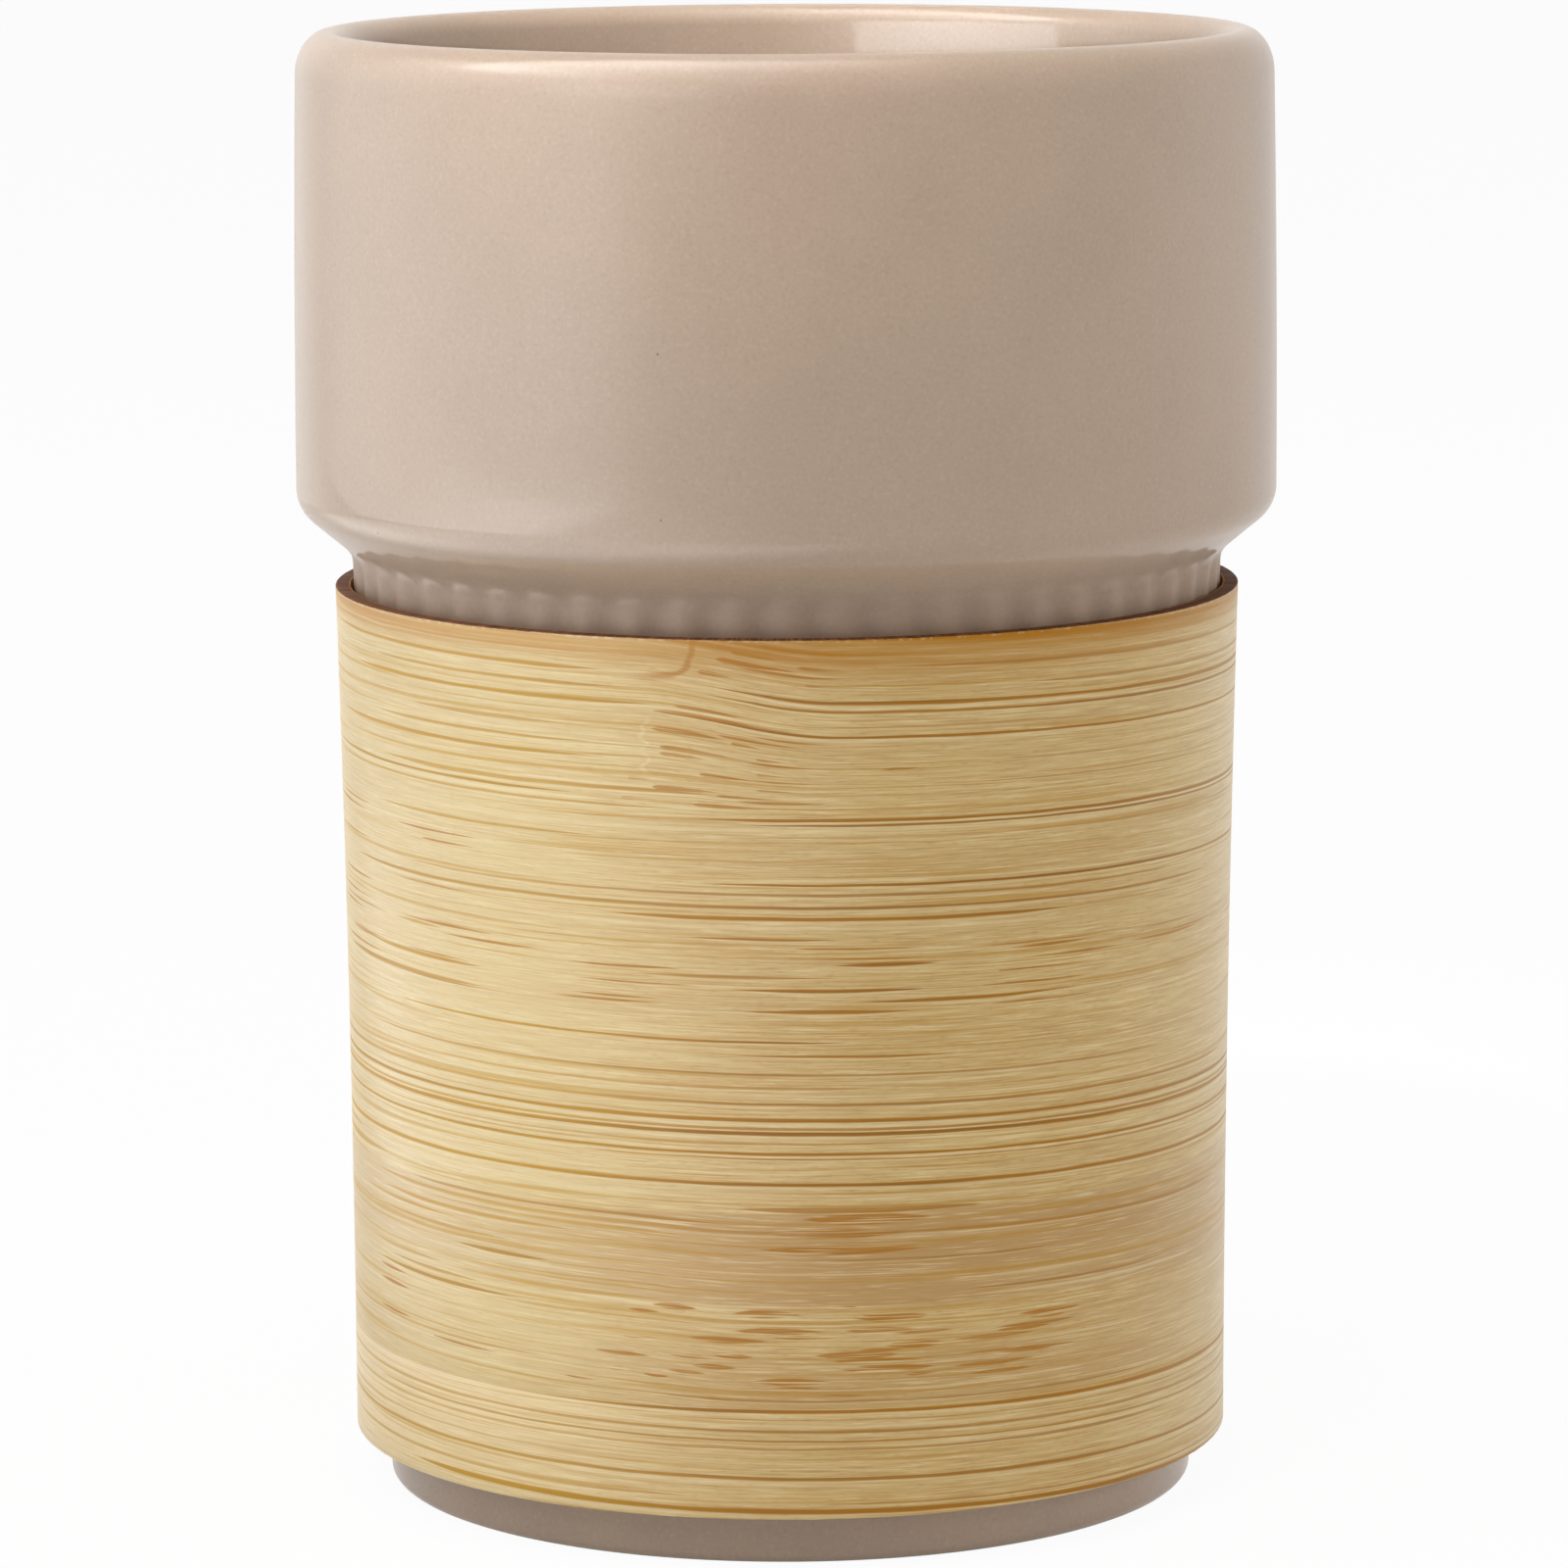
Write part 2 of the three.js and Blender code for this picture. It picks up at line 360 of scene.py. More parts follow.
def outerProfile():
    foot = cup["barrelRadius"] - cup["barrelFlare"] - cup["footSetback"]
    ring = foot - cup["footRing"]
    glint = cup["footEdge"]
    recess = cup["footRecess"]
    corner = cup["shoulderCorner"]
    lip = bowlRadius - cup["bowlDraft"]
    lipStart = cupTop - cup["lipRise"]
    points = straight((0, recess), (ring - glint, recess), 6)
    points += arc(ring - glint, recess - glint, glint, 90, 0, 4)
    points += arc(ring + glint, glint, glint, 180, 270, 4)
    points += straight((ring + glint, 0), (foot - glint, 0), 3)
    points += arc(foot - glint, glint, glint, -90, 0, 6)
    points += straight((foot, glint), (foot, cup["footHeight"]), 4)
    points += straight((foot, cup["footHeight"]), (ribCrest(barrelStart), barrelStart), 3)
    points += [(ribCrest(z), z) for z in cup["barrelRows"]]
    fillet = cup["neckFillet"]
    points += arc(cup["barrelRadius"] + fillet, neckHeight, fillet, 180, 90 + cup["shoulderSlope"], 12)
    points += arc(bowlRadius - corner, cup["shoulderHeight"], corner, cup["shoulderSlope"] - 90, 0, 10)
    for i in range(13):  # the bowl draws in along a parabola
        rise = i / 12
        z = cup["shoulderHeight"] + (lipStart - cup["shoulderHeight"]) * rise
        points.append((bowlRadius - cup["bowlDraft"] * rise * rise, z))
    stretch = cup["lipRise"] / cup["lipRound"]  # the outer edge of the lip is a quarter of an ellipse
    quarter = arc(lip - cup["lipRound"], 0, cup["lipRound"], 0, 90, 14)
    points += [(r, lipStart + z * stretch) for r, z in quarter]
    return withoutDoubles(points)


def innerProfile():
    crown = bowlRadius - cup["bowlDraft"] - cup["lipRound"]
    lipInner = cup["wall"] - cup["lipRound"]
    flare = math.radians(cup["mouthFlare"])
    mouth = cup["mouthRound"]
    bowlInner = crown - lipInner * math.cos(flare) - mouth * (1 - math.cos(flare))
    neckInner = cup["barrelRadius"] - cup["barrelWall"]
    lowRadius = ribCrest(cup["floor"]) - cup["barrelWall"]
    turnIn = 1 - math.sin(slope)
    rounding = cup["innerRound"]

    def shoulderAbove(radius):
        lift = cup["barrelWall"] / math.cos(slope)
        return cornerStart + lift + (radius - bowlRadius + cup["shoulderCorner"] * turnIn) * math.tan(slope)

    highTurn = shoulderAbove(bowlInner - rounding * turnIn) + rounding * math.cos(slope)
    lowTurn = shoulderAbove(neckInner + rounding * turnIn) - rounding * math.cos(slope)
    fillet = cup["floorFillet"]
    leanStart = 180 - cup["mouthFlare"]
    points = arc(crown, cupTop - lipInner, lipInner, 90, leanStart, 10)
    leanEnd = points[-1][1] - mouth * math.sin(flare)
    points += arc(bowlInner + mouth, leanEnd, mouth, leanStart, 180, 6)
    points += straight(points[-1], (bowlInner, highTurn), 8)
    points += arc(bowlInner - rounding, highTurn, rounding, 0, cup["shoulderSlope"] - 90, 8)
    points += arc(neckInner + rounding, lowTurn, rounding, 90 + cup["shoulderSlope"], 180, 8)
    points += straight((neckInner, lowTurn), (lowRadius, cup["floor"] + fillet), 8)
    points += arc(lowRadius - fillet, cup["floor"] + fillet, fillet, 0, -90, 8)
    points += straight((lowRadius - fillet, cup["floor"]), (0, cup["floor"]), 5)
    return withoutDoubles(points)


def turnedTree():  # a wall turned right round, with ribs where the profile says
    inputs = {"Ribs": "NodeSocketInt", "Columns per rib": "NodeSocketInt", "Material": "NodeSocketMaterial"}
    tree, start = newTree("turned wall", inputs)
    ribs = start.also("Ribs")
    columns = ribs * start.also("Columns per rib")
    grid, column, radius, height, named = profileRows(start, columns + 1)
    across = column / columns
    turn = across * fullTurn
    hollow = 0.5 - 0.5 * start.math("COSINE", turn * ribs)
    wall = grid.make("GeometryNodeSetPosition", {}, {
        "Geometry": grid, "Position": onCircle(radius - named("ribDepth") * hollow, turn, height)})
    sheet = start.make("ShaderNodeCombineXYZ", {}, {"X": across, "Y": named("lane")})
    wall = store(wall, "OFBake", "FLOAT2", "CORNER", sheet)
    closeTree(wall, start.also("Material"), 60)
    return tree


glaze = {
    "mottle": 12,  # size of the soft patches
    "grain": 0.32,
    "orangePeel": 3,
    "pinholes": 4.5,  # from one to the next
    "pinholeShare": 0.2,
    "bareHeight": (0.35, 0.1),  # the foot ring stands unglazed
    "dullShadedNeck": (60, 77.6, 1.2),  # the glaze is dull there, and painted a little darker as shade under the bowl's overhang
    "coat": 0.45,
}


def glazeMaterial():
    tones = {
        "glaze": srgb(175, 153, 133),
        "thin": srgb(179, 156, 136),
        "speck": srgb(160, 137, 115),
        "fleck": srgb(194, 171, 148),
        "pinhole": srgb(84, 66, 54),
        "clay": srgb(200, 186, 168),
        "deep": srgb(128, 98, 78),
    }
    material, start = newMaterial("sand pink glaze")
    x, y, z, turn = axes(start)

    def clouds(size):
        return cloud(x / size, y / size, z / size)

    mottle = clouds(glaze["mottle"])
    grain = clouds(glaze["grain"])
    colour = blend(ease(mottle, 0.3, 0.7), tones["glaze"], tones["thin"])
    colour = blend(ease(grain, 0.52, 0.75) * 0.3, colour, tones["speck"])
    colour = blend(ease(grain, 0.48, 0.25) * 0.3, colour, tones["fleck"])
    apart = glaze["pinholes"]
    cell = start.make("ShaderNodeCombineXYZ", {}, {"X": x / apart, "Y": y / apart, "Z": z / apart})
    spot = start.make("ShaderNodeTexVoronoi", {"feature": "F1"}, {"Vector": cell, "Scale": 1.0})
    chance = start.make("ShaderNodeSeparateColor", {}, {0: spot.also("Color")})
    left = 1 - glaze["pinholeShare"]
    pinhole = ease(spot, 0.03, 0.012) * ease(chance, left, left + 0.02)
    colour = blend(pinhole * 0.7, colour, tones["pinhole"])
    bare = ease(z, *glaze["bareHeight"])
    colour = blend(bare, colour, tones["clay"])
    # painted shade: the neck under the bowl's overhang is painted darker, and its coat is weaker there
    dullShade = band(z, *glaze["dullShadedNeck"]) * 0.95
    colour = blend(dullShade * 0.2, colour, tones["deep"])
    skin = clouds(glaze["orangePeel"]) + 0.15 * grain - pinhole
    finishMaterial(start, {
        "Base Color": colour,
        "Roughness": 0.42 + 0.05 * mottle + 0.4 * bare,
        "Normal": bump(skin, 0.015, 0.3),
        "Specular IOR Level": 0.15,
        "Coat Weight": glaze["coat"] * (1 - larger(bare, dullShade)),
        "Coat Roughness": 0.06,
    })
    return material


def addCup():
    points = withoutDoubles(outerProfile() + innerProfile())
    top = max(range(len(points)), key=lambda i: points[i][1])
    depths = [ribDepthAt(z) * mm if i < top else 0.0 for i, (r, z) in enumerate(points)]
    piece = profileObject("glazedCup", points, {"ribDepth": depths, "lane": lanes(points)})
    grow(piece, turnedTree(), {
        "Ribs": cup["ribs"], "Columns per rib": cup["columnsPerRib"], "Material": glazeMaterial()})
    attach(piece, "root")
    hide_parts("ceramic_cup")
    print("cup turned:", len(points), "rows,", len(piece.data.polygons), "faces")


addCup()

# Sleeve. A fibre, a mark or a pale line is (height, first and last turn in degrees, width, strength).
# A group of dashes is (first and last turn, lowest and highest point, share of its cells that hold one).
sleeve = {
    "gap": 0.3,  # from the ribs to the bore
    "wall": 1.2,
    "seam": 0.3,  # slot at the back, where the glue stands
    "columns": 720,
    "edgeRound": 0.12,
    "fray": 0.07,
    "lean": 0.009,  # how much the grain sinks for each degree to the right
    "waver": 0.3,
}
# A strip's left entry names the tone of the light painted on its left side.
strips = [
    {"name": "bamboo_strip_1", "seed": 3.1, "brown": 0.1, "left": "light", "dashes": [],
     "fibres": [(13.0, -190, 190, 0.34, 0.9), (12.3, -20, 190, 0.12, 0.4), (11.4, -150, 120, 0.22, 0.55),
                (10.6, -70, 190, 0.16, 0.6), (10.0, -90, 60, 0.2, 0.45), (8.6, -160, -20, 0.16, 0.3),
                (7.6, -140, 150, 0.26, 0.7), (6.0, -85, -10, 0.26, 0.5), (5.6, 0, 130, 0.16, 0.5),
                (5.0, -60, 110, 0.42, 0.85)],
     "pales": [(11.8, -80, 40, 0.3, 0.4), (10.3, -20, 70, 0.2, 0.5), (7.2, -60, 80, 0.3, 0.4)]},
    {"name": "bamboo_strip_2", "seed": 7.7, "brown": 0.4, "brownAbove": (21.5, 0.6),
     "dash": (11.0, 0.7, 0.3), "dashes": [(24, 47, 15.2, 21.2, 0.75), (-75, -30, 14.5, 21.0, 0.25)],
     "split": 1.0, "ends": (0.4, 0.5),
     "marks": [(28.8, 0, 20, 0.9, 0.9), (27.65, -5, 17, 0.85, 0.9), (26.4, -6, 20, 0.8, 0.85),
               (21.8, 3, 9, 0.26, 0.8), (21.35, -18, -11, 0.5, 0.9), (21.2, -8, 2.5, 0.7, 0.95),
               (20.9, 7, 19, 0.7, 0.95), (19.8, -8, 5.5, 0.6, 0.95), (19.85, 6, 17, 0.5, 0.9),
               (19.0, -14, -1.5, 0.6, 0.8), (18.6, 11, 21, 0.6, 0.9), (17.7, -10, -4, 0.36, 0.9),
               (17.85, 2, 15, 0.7, 0.95), (16.75, -13, -6, 0.5, 0.95), (16.75, 5, 20, 0.7, 0.9),
               (15.75, -6, 6.5, 0.55, 0.9), (15.6, -19, -15, 0.45, 0.85), (15.8, -24, -20, 0.4, 0.7),
               (20.75, -21, -16, 0.26, 0.8), (20.3, 29, 41, 0.4, 0.8), (19.9, 31, 38, 0.26, 0.7),
               (19.6, 10, 22, 0.34, 0.8), (19.3, -3, 7, 0.34, 0.8), (19.15, 26, 36, 0.34, 0.8),
               (18.5, -22, -15, 0.3, 0.8), (18.25, 8, 15, 0.3, 0.8), (17.45, -16, -9, 0.3, 0.8),
               (17.4, 4, 18, 0.4, 0.85), (17.3, 33, 40, 0.26, 0.7), (17.1, -26, -17, 0.3, 0.8),
               (16.2, 14, 20, 0.3, 0.7), (16.15, -16, -10, 0.34, 0.85), (15.2, -5, 5, 0.4, 0.8),
               (14.7, -30, -24, 0.26, 0.7), (14.65, 3, 10, 0.26, 0.7), (14.2, -12, -7, 0.24, 0.6)],
     "sweep": {"turn": -22, "reach": 16, "drop": 0.3},
     "fibres": [(27.7, -70, 75, 0.3, 0.45), (25.6, -2, 40, 0.2, 0.4), (26.6, -68, -25, 0.26, 0.6),
                (25.9, -75, -44, 0.22, 0.6), (28.3, -60, -6, 0.24, 0.6), (25.0, -70, -35, 0.22, 0.6),
                (23.9, -49, -30, 0.3, 0.75), (22.8, 20, 60, 0.2, 0.5),
                (21.9, -72, -48, 0.3, 0.5), (21.1, -66, -40, 0.26, 0.6), (20.4, -70, -34, 0.36, 0.75),
                (16.0, -90, -30, 0.18, 0.5), (14.2, -80, 60, 0.16, 0.4)],
     "pales": [(21.5, -34, 2, 0.32, 0.9), (22.3, 20, 70, 0.26, 0.6), (23.4, -60, -20, 0.24, 0.5)]},
    {"name": "bamboo_strip_3", "seed": 11.3, "brown": 0.1, "dash": (12.0, 0.7, 0.3),
     "dashes": [(-95, -60, 29.2, 31.0, 0.5)],
     "fibres": [(42.6, -62, 10, 0.18, 0.8), (41.5, -10, 24, 0.24, 0.75), (40.0, -72, 60, 0.16, 0.5),
                (38.9, -78, 14, 0.2, 0.45), (37.6, -180, 78, 0.24, 0.6), (36.3, -190, 190, 0.28, 0.9),
                (35.6, -190, 190, 0.18, 0.6), (35.2, -190, 190, 0.28, 0.95), (34.4, -70, 20, 0.14, 0.4),
                (33.6, -190, 190, 0.22, 0.85), (33.2, -30, 190, 0.12, 0.6), (31.2, -190, 190, 0.28, 0.8),
                (29.2, -10, 28, 0.5, 0.6), (29.3, -95, -60, 0.5, 0.6)],
     "pales": [(35.9, -120, 120, 0.22, 0.5), (34.8, -120, 120, 0.26, 0.5), (38.2, -70, 60, 0.3, 0.4),
               (30.2, -70, 40, 0.5, 0.4)]},
    {"name": "bamboo_strip_4", "seed": 17.9, "brown": 0.15, "dash": (17.0, 0.7, 0.2),
     "dashes": [(-80, 190, 44.8, 50.4, 0.5), (-85, -40, 50.4, 58.0, 0.25)],
     "fibres": [(60.15, -14, 190, 0.26, 0.9), (59.75, -8, 190, 0.16, 0.7), (58.8, -5, 90, 0.16, 0.3),
                (58.4, -66, -22, 0.22, 0.6), (57.2, -44, -5, 0.16, 0.35), (55.0, -14, 90, 0.2, 0.9),
                (54.2, -60, 60, 0.2, 0.5), (53.2, -75, 70, 0.26, 0.65), (52.3, -26, 40, 0.3, 0.85),
                (50.7, -15, 8, 0.22, 0.75), (49.2, -60, -48, 0.26, 0.6), (48.7, 4, 20, 0.26, 0.75),
                (47.7, -22, 8, 0.2, 0.6), (46.7, -72, -38, 0.34, 0.7), (46.7, -10, 20, 0.32, 0.85),
                (45.8, 6, 38, 0.28, 0.85), (45.1, -80, -38, 0.36, 0.65), (45.0, -8, 18, 0.36, 0.85)],
     "pales": [(59.95, -10, 120, 0.2, 0.8), (59.3, -60, 60, 0.36, 0.5), (55.4, -10, 60, 0.2, 0.5),
               (51.6, -40, 40, 0.3, 0.5)]},
    {"name": "bamboo_strip_5", "seed": 23.2, "brown": 0.1, "dash": (12.0, 0.62, 0.26), "skew": 0.45,
     "dashes": [(-16, 5, 61.2, 73.6, 0.4)],
     "split": 0.5, "ends": (0.12, 0.75),
     "marks": [(75.0, -4, 11, 0.3, 0.8), (74.1, -7, 0, 0.26, 0.8), (73.7, 1, 8, 0.24, 0.7),
               (73.35, -9, 3, 0.42, 0.9), (72.4, 2, 6, 0.2, 0.6), (72.1, -11, -6, 0.34, 0.85),
               (69.1, -14, -4, 0.32, 0.8), (68.55, -17, 4, 0.26, 0.8), (67.1, -17, -6, 0.46, 0.95),
               (66.9, -7, -3, 0.24, 0.7), (65.9, -4, 0, 0.28, 0.7), (65.7, -16, -5, 0.36, 0.9),
               (65.2, -16, -9, 0.28, 0.9), (64.5, -4, 0, 0.24, 0.6), (63.9, -11, -3, 0.36, 0.95),
               (63.1, -20, -16, 0.26, 0.6), (63.0, -4, 2, 0.22, 0.6), (62.5, -17, -7, 0.42, 0.95),
               (62.2, -9, 0, 0.2, 0.9), (61.5, -21, -15, 0.24, 0.6), (61.3, -12, -1, 0.32, 0.85)],
     "sweep": {"turn": -18, "reach": 24, "drop": 1.7, "grows": (59, 66)},
     "crease": {"turn": -17.6, "heights": (63.4, 68.2)},
     "knot": {"turn": -19, "height": 65.6, "reach": 8, "rise": 2.6},
     "hook": {"turn": -14.5, "height": 73.2, "radius": 1.8, "reach": 7},
     "fibres": [(73.4, -85, -20, 0.2, 0.4), (72.8, -80, -22, 0.2, 0.5), (71.5, -82, -20, 0.3, 0.7),
                (70.2, -66, -18, 0.26, 0.6), (69.0, -72, -14, 0.3, 0.75), (68.2, -60, -20, 0.14, 0.35),
                (67.0, -58, -24, 0.26, 0.5), (65.7, -66, -22, 0.28, 0.6), (64.6, -80, -22, 0.3, 0.75),
                (63.4, -75, -30, 0.14, 0.4), (62.2, -64, -6, 0.34, 0.6), (61.6, -85, -24, 0.2, 0.75),
                (60.9, -85, -10, 0.2, 0.6), (71.1, -12, 190, 0.3, 0.9), (70.4, -13, 190, 0.2, 0.75),
                (68.4, -15, 190, 0.2, 0.9), (69.2, 0, 50, 0.2, 0.3), (72.3, 28, 120, 0.24, 0.55),
                (74.0, 10, 90, 0.24, 0.5), (63.8, 20, 66, 0.16, 0.4), (66.0, 25, 80, 0.14, 0.35)],
     "pales": [(72.7, -10, -6, 0.2, 0.7), (66.4, -15, -8, 0.2, 0.8), (61.25, -80, -20, 0.24, 0.8),
               (70.7, -8, 100, 0.16, 0.6), (68.1, -8, 90, 0.2, 0.4), (66.2, -70, -25, 0.3, 0.4)]},
]
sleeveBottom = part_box("bamboo_strip_1")[0].z / mm
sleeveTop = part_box("bamboo_strip_5")[1].z / mm
alongDegree = math.radians(1) * 36.3  # millimetres of the outer face for each degree


def sleeveOuter(z):
    return ribCrest(z) + sleeve["gap"] + sleeve["wall"]


def lineTree():  # one line along the grain that tapers to both ends, and a painted highlight just below it
    tree = bpy.data.node_groups.new("grain line", "ShaderNodeTree")
    labels = ("Turn", "Grain", "Swell", "Height", "First", "Last",
              "Rise", "Fall", "Width", "Soft", "Strength")
    for label in labels:
        tree.interface.new_socket(label, in_out="INPUT", socket_type="NodeSocketFloat")
    for label in ("Line", "Glint"):
        tree.interface.new_socket(label, in_out="OUTPUT", socket_type="NodeSocketFloat")
    start = Wire(tree).make("NodeGroupInput")
    first, last, soft = start.also("First"), start.also("Last"), start.also("Soft")
    taper = ease(start, first, first + start.also("Rise")) * ease(start, last, last - start.also("Fall"))
    half = taper * start.also("Swell") * start.also("Width") * 0.45 + 0.01
    off = (start.also("Grain") - start.also("Height")) / half
    weight = ease(taper, 0.0, 0.3) * start.also("Strength")
    line = ease(abs(off), 1 + soft, 1 - soft) * weight
    # painted highlight: a pale band just below the line, where the raised fibre would catch the light
    glint = ease(abs(off + 2.1), 1.3, 0.3) * weight
    start.make("NodeGroupOutput", {}, {"Line": line, "Glint": glint})
    return tree


def grainLines(tree, lines, turn, grain, swell, soft, ends=(0.45, 0.45)):
    drawn = None
    glints = None
    for height, first, last, width, strength in lines:
        rise, fall = (min(14, (last - first) * share) for share in ends)
        line = turn.make("ShaderNodeGroup", {"node_tree": tree}, {
            "Turn": turn, "Grain": grain, "Swell": swell, "Height": height, "First": first, "Last": last,
            "Rise": rise, "Fall": fall, "Width": width, "Soft": soft, "Strength": min(1, 1.25 * strength)})
        drawn = line if drawn is None else larger(drawn, line)
        glints = line.also("Glint") if glints is None else larger(glints, line.also("Glint"))
    return drawn, glints


def grainDashes(strip, along, grain):  # pointed dashes, each kept whole or left out
    length, pitch, thickness = strip["dash"]
    x = along / length + strip["seed"]
    y = grain / pitch
    settings = {"feature": "F1", "voronoi_dimensions": "2D"}
    cell = x.make("ShaderNodeCombineXYZ", {}, {"X": x, "Y": y})
    spot = x.make("ShaderNodeTexVoronoi", settings, {"Vector": cell, "Scale": 1.0, "Randomness": 0.85})
    middle = x.make("ShaderNodeSeparateXYZ", {}, {0: spot.also("Position")})
    chance = x.make("ShaderNodeSeparateColor", {}, {0: spot.also("Color")})
    middleTurn = (middle - strip["seed"]) * (length / alongDegree)
    middleHeight = middle.also("Y") * pitch
    share = None
    for first, last, low, high, part in strip["dashes"]:
        group = band(middleTurn, first, last, 3) * band(middleHeight, low, high, 0.3) * part
        share = group if share is None else larger(share, group)
    away = (x - middle) / (0.24 + 0.2 * chance.also("Blue"))
    skew = 1 - away * strip.get("skew", 0.0)  # blunt on the left
    half = (0.6 + 0.4 * chance.also("Green")) * thickness * (1 - away * away) * skew
    return ease(half - abs(y - middle.also("Y")), 0.0, 0.4 * thickness) * ease(chance, share, share - 0.05)


# Streaks along the grain: length, width, shift of the seed, and detail
wood = {
    "hair": (4, 0.13, 0, 1),
    "fleck": (0.9, 0.12, 1, 0),
    "streak": (50, 0.5, 3, 2),
    "patch": (34, 4, 7, 1),
    "thread": (30, 0.3, 11, 0),
    "cord": (60, 0.55, 13, 0),
    "swell": (12, 1.5, 15, 0),
    "shine": (26, 0.3, 17, 0),
    "torn": (0.6, 4, 19, 1),
    "split": (8, 0.14, 21, 0),
    "thin": (16, 0.17, 23, 0),
}
sleeveEdge = {
    "scorchDepth": 4.2,  # from the upper edge
    "tornDepth": (0.28, 0.18),
    "cutDepth": (0.03, 0.12),  # share of the wall, from the outer face
    "boreDepth": (0.9, 0.98),
    "tick": 0.22,  # width of a fibre's end
}


def bambooMaterial(strip, line):
    tones = {
        "pale": srgb(208, 180, 118),
        "mid": srgb(195, 163, 98),
        "brown": srgb(178, 140, 82),
        "thread": srgb(178, 130, 34),
        "dash": srgb(168, 112, 30),
        "litGold": srgb(184, 142, 22),
        "fibre": srgb(162, 108, 20),
        "dark": srgb(124, 80, 24),
        "light": srgb(228, 208, 160),
        "litLemon": srgb(184, 168, 106),
        "fleck": srgb(168, 120, 62),
        "raw": srgb(232, 212, 168),
        "scorch": srgb(172, 114, 8),
        "burnt": srgb(72, 40, 20),
        "char": srgb(114, 70, 40),
        "inner": srgb(178, 132, 78),
    }
    material, start = newMaterial(strip["name"].replace("_", " "))
    x, y, z, turn = axes(start)
    seed = strip["seed"] + 5
    along = turn * alongDegree
    slow = cloud(along / 60, z / 10, seed, 0.0)
    quick = cloud(along / 5, z / 0.8, seed + 2, 0.0)
    grain = z + turn * sleeve["lean"] + (slow - 0.5) * sleeve["waver"] + (quick - 0.5) * 0.08
    if "sweep" in strip:  # the grain drops across a node
        sweep = strip["sweep"]
        drop = sweep["drop"] * ease(turn, sweep["turn"], sweep["turn"] + sweep["reach"])
        grain = grain + drop * (ease(z, *sweep["grows"]) if "grows" in sweep else 1.0)

    def streaks(kind):
        length, width, shift, detail = wood[kind]
        return cloud(along / length, grain / width, seed + shift, detail)

    hair = streaks("hair")
    streak = streaks("streak")
    patch = streaks("patch")
    swell = 0.65 + 0.7 * streaks("swell")
    fibres, fibreGlints = grainLines(line, strip["fibres"], turn, grain, swell, 0.4)
    pales = grainLines(line, strip["pales"], turn, grain, swell, 0.8)[0]
    # painted highlights: shine streaks along the grain and the glint under each fibre line join the pale
    # lines
    pales = larger(pales, ease(streaks("shine"), 0.66, 0.8) * 0.6)
    pales = larger(pales, fibreGlints * 0.5)
    threads = larger(ease(streaks("thread"), 0.64, 0.78), ease(streaks("cord"), 0.69, 0.79)) * 0.6
    marks = larger(fibres, threads)
    dashes = grainDashes(strip, along, grain) if strip["dashes"] else None
    if "marks" in strip:  # bundles of short fibres, with pale wood between them
        bundle = grainLines(line, strip["marks"], turn, grain, swell, 0.3, strip["ends"])[0]
        fine = ease(streaks("split"), 0.33, 0.47)
        fine = bundle * (1 - strip["split"] * (1 - fine))
        pales = larger(pales, (bundle - fine) * 0.7)
        dashes = larger(dashes, fine)
    if "crease" in strip:
        crease = strip["crease"]
        bent = abs(turn - crease["turn"] + (quick - 0.5) * 3)
        pales = larger(pales, ease(bent, 0.5, 0.1) * band(z, *crease["heights"], 0.6) * 0.6)
    if "hook" in strip:  # the fold of the node under the rim
        hook = strip["hook"]
        side = start.math("MAXIMUM", along - hook["turn"] * alongDegree, 0.0)
        below = start.math("MAXIMUM", hook["height"] - z, 0.0)
        ring = abs(start.math("SQRT", side * side + below * below) - hook["radius"] + (quick - 0.5) * 0.8)
        tail = ease(turn, hook["turn"] - hook["reach"], hook["turn"])
        dashes = larger(dashes, ease(ring, 0.4, 0.1) * tail * 0.8)

    tone = ease(streak, 0.3, 0.7) * 0.5 + ease(patch, 0.3, 0.7) * 0.5
    colour = blend(tone, tones["pale"], tones["mid"])
    brown = strip["brown"] * (0.4 + 1.2 * ease(patch, 0.3, 0.7))
    if "brownAbove" in strip:
        height, share = strip["brownAbove"]
        above = ease(grain, height - 0.3, height + 0.3)
        brown = brown + share * (0.6 + 0.6 * ease(streak, 0.35, 0.65)) * above
    colour = blend(brown, colour, tones["brown"])
    if "knot" in strip:
        knot = strip["knot"]
        across = (turn - knot["turn"]) / knot["reach"]
        up = (z - knot["height"]) / knot["rise"]
        colour = blend(ease(across * across + up * up, 1.0, 0.0) * 0.15, colour, tones["light"])
    colour = blend(ease(hair, 0.48, 0.75) * 0.7, colour, tones["brown"])
    colour = blend(ease(hair, 0.48, 0.25) * 0.45, colour, tones["light"])
    colour = blend(ease(streaks("fleck"), 0.55, 0.8) * 0.3, colour, tones["fleck"])
    colour = blend(pales * 0.6, colour, tones["light"])
